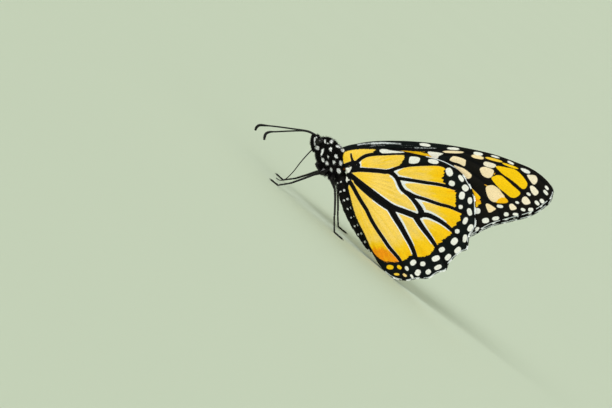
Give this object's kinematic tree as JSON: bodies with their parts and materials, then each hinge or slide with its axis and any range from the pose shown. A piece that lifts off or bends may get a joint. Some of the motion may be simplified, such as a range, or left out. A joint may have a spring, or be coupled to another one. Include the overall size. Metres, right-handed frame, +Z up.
{
  "type": "monarch butterfly",
  "caption": "Life-size still model of a monarch butterfly standing with its wings closed over its back, feelers lowered and tongue let down.",
  "frame": {"origin": "middle of the box around the insect, on the surface that it stands on", "axes": "+Z up, -X the way the insect faces, -Y its left side"},
  "size_m": [0.0655, 0.022, 0.0415],
  "materials": {
    "wing": "satin",
    "body": "matte",
    "limb": "satin",
    "eye": "gloss"
  },
  "bodies": {
    "root": {"head": "body", "thorax": "body", "abdomen": "body", "forewing_left": "wing", "forewing_right": "wing", "hindwing_left": "wing", "hindwing_right": "wing", "foreleg_left": "limb", "foreleg_right": "limb", "midleg_left": "limb", "midleg_right": "limb", "hindleg_left": "limb", "hindleg_right": "limb", "antenna_left": "limb", "antenna_right": "limb", "palp_left": "limb", "palp_right": "limb", "proboscis": "limb", "eye_left": "eye", "eye_right": "eye"}
  },
  "joints": []
}
